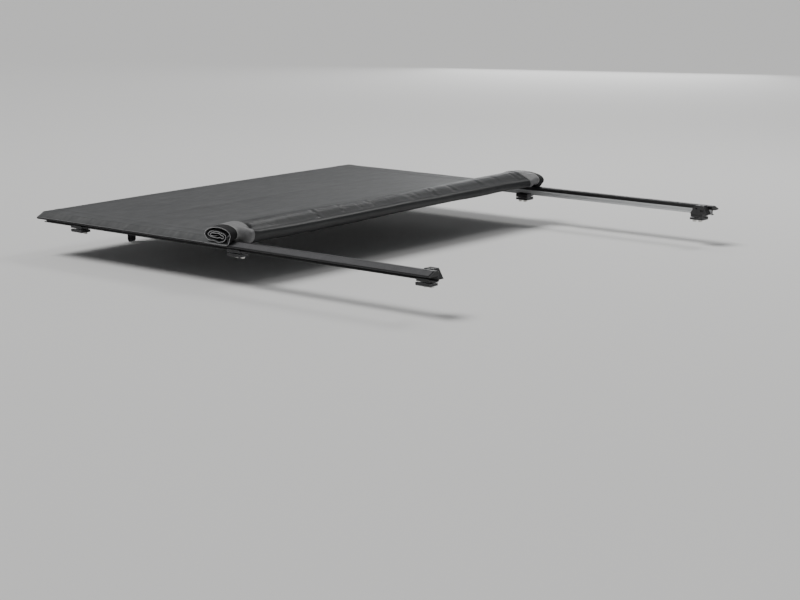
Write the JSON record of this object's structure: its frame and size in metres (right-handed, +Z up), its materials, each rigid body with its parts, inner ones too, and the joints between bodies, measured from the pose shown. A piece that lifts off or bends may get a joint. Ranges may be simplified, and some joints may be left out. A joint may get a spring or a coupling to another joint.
{
  "type": "roll-up tonneau cover",
  "caption": "Soft roll-up cover for a pickup bed on clamped aluminium side rails, half rolled up, with cross bows, a front header, a latching rear bar and storage straps.",
  "frame": {"origin": "in the plane the side rails rest on (top of the bed walls), midway between the rails and midway along them", "axes": "+X vehicle right, +Y towards the cab, +Z up"},
  "size_m": [1.6942, 1.712, 0.1978],
  "materials": {
    "rail": "satin black anodised",
    "cap": "moulded",
    "hook_tape": "hook side, matt",
    "loop_tape": "loop side, napped black",
    "edge_band": "matt grey reinforcing fabric",
    "foam": "matt",
    "vinyl": "fine leather-grain coated fabric",
    "fabric_back": "satin coated underside",
    "bow_metal": "mill finish",
    "cast": "black powder coat",
    "clamp_metal": "tumbled",
    "zinc": "bright zinc",
    "black_steel": "black coated",
    "spring_steel": "drawn wire",
    "latch_plastic": "moulded",
    "pull_plastic": "moulded",
    "webbing": "woven"
  },
  "bodies": {
    "frame": {"buckle_sockets": "latch_plastic", "bulkhead_seal": "foam", "clamp_upper_blocks": "clamp_metal", "cover_sheet_front": "vinyl", "front_header": "rail", "front_keder_bead": "fabric_back", "header_bracket_screws": "zinc", "left_edge_band": "edge_band", "left_header_bracket": "black_steel", "left_hook_strip": "hook_tape", "left_latch_striker": "cast", "left_loop_band": "loop_tape", "left_rail_end_caps": "cap", "left_rail_seal": "foam", "left_side_rail": "rail", "right_edge_band": "edge_band", "right_header_bracket": "black_steel", "right_hook_strip": "hook_tape", "right_latch_striker": "cast", "right_loop_band": "loop_tape", "right_rail_end_caps": "cap", "right_rail_seal": "foam", "right_side_rail": "rail", "storage_straps": "webbing", "strap_anchor_plates": "black_steel", "strap_anchor_screws": "zinc", "striker_screws": "zinc"},
    "roll_carriage": {"cover_sheet_tuck": "fabric_back"},
    "cover_roll": {"cover_roll": "fabric_back", "rear_bar": "rail", "rear_bar_seal": "foam", "left_latch_housing": "latch_plastic", "right_latch_housing": "latch_plastic", "left_latch_spring": "spring_steel", "right_latch_spring": "spring_steel"},
    "bow_front": {"bow_front": "bow_metal", "bow_front_tips": "cap"},
    "bow_middle": {"bow_middle": "bow_metal", "bow_middle_tips": "cap"},
    "bow_rear": {"bow_rear": "bow_metal", "bow_rear_tips": "cap"},
    "left_latch": {"left_latch_plunger": "zinc", "left_latch_finger_pull": "pull_plastic"},
    "left_buckle": {"left_buckle_prong": "latch_plastic"},
    "left_front_clamp": {"left_front_clamp_jaw": "clamp_metal", "left_front_clamp_bolts": "zinc"},
    "left_mid_clamp": {"left_mid_clamp_jaw": "clamp_metal", "left_mid_clamp_bolts": "zinc"},
    "left_rear_clamp": {"left_rear_clamp_jaw": "clamp_metal", "left_rear_clamp_bolts": "zinc"},
    "right_latch": {"right_latch_plunger": "zinc", "right_latch_finger_pull": "pull_plastic"},
    "right_buckle": {"right_buckle_prong": "latch_plastic"},
    "right_front_clamp": {"right_front_clamp_jaw": "clamp_metal", "right_front_clamp_bolts": "zinc"},
    "right_mid_clamp": {"right_mid_clamp_jaw": "clamp_metal", "right_mid_clamp_bolts": "zinc"},
    "right_rear_clamp": {"right_rear_clamp_jaw": "clamp_metal", "right_rear_clamp_bolts": "zinc"}
  },
  "joints": [
    {"name": "cover_roll_up", "type": "slide", "parent": "frame", "child": "roll_carriage", "axis": [0, 1, 0], "range_m": [0, 0.65], "deforming": ["cover_sheet_front", "left_loop_band", "right_loop_band", "left_edge_band", "right_edge_band", "cover_sheet_tuck", "cover_roll"]},
    {"name": "cover_unroll", "type": "slide", "parent": "roll_carriage", "child": "cover_roll", "axis": [0, -0.9993, -0.0377], "range_m": [0, 0.78256], "deforming": ["cover_roll", "cover_sheet_tuck"]},
    {"name": "bow_front_travel", "type": "slide", "parent": "frame", "child": "bow_front", "axis": [0, 1, 0], "range_m": [0, 0.263]},
    {"name": "bow_middle_travel", "type": "slide", "parent": "frame", "child": "bow_middle", "axis": [0, 1, 0], "range_m": [0, 0.533]},
    {"name": "bow_rear_travel", "type": "slide", "parent": "roll_carriage", "child": "bow_rear", "axis": [0, -0.9948, -0.1018], "range_m": [0, 0.42269]},
    {"name": "latch_release_left", "type": "slide", "parent": "cover_roll", "child": "left_latch", "axis": [1, 0, 0], "range_m": [0, 0.01], "stiffness_N_per_m": 300, "springref_m": -0.003, "deforming": ["left_latch_spring"]},
    {"name": "latch_release_right", "type": "slide", "parent": "cover_roll", "child": "right_latch", "axis": [-1, 0, 0], "range_m": [0, 0.01], "stiffness_N_per_m": 300, "springref_m": -0.003, "deforming": ["right_latch_spring"]},
    {"name": "rail_clamp_front_left", "type": "slide", "parent": "frame", "child": "left_front_clamp", "axis": [0, 0, -1], "range_m": [0, 0.01]},
    {"name": "rail_clamp_mid_left", "type": "slide", "parent": "frame", "child": "left_mid_clamp", "axis": [0, 0, -1], "range_m": [0, 0.01]},
    {"name": "rail_clamp_rear_left", "type": "slide", "parent": "frame", "child": "left_rear_clamp", "axis": [0, 0, -1], "range_m": [0, 0.01]},
    {"name": "rail_clamp_front_right", "type": "slide", "parent": "frame", "child": "right_front_clamp", "axis": [0, 0, -1], "range_m": [0, 0.01]},
    {"name": "rail_clamp_mid_right", "type": "slide", "parent": "frame", "child": "right_mid_clamp", "axis": [0, 0, -1], "range_m": [0, 0.01]},
    {"name": "rail_clamp_rear_right", "type": "slide", "parent": "frame", "child": "right_rear_clamp", "axis": [0, 0, -1], "range_m": [0, 0.01]},
    {"name": "strap_buckle_left", "type": "slide", "parent": "frame", "child": "left_buckle", "axis": [0, 0, -1], "range_m": [0, 0.024], "deforming": ["storage_straps"]},
    {"name": "strap_buckle_right", "type": "slide", "parent": "frame", "child": "right_buckle", "axis": [0, 0, -1], "range_m": [0, 0.024], "deforming": ["storage_straps"]}
  ],
  "couplings": [
    {"joint": "bow_front_travel", "follows": "cover_roll_up", "ratio": 0.40308},
    {"joint": "bow_middle_travel", "follows": "cover_roll_up", "ratio": 0.81846},
    {"joint": "bow_rear_travel", "follows": "cover_unroll", "ratio": 0.53951}
  ]
}
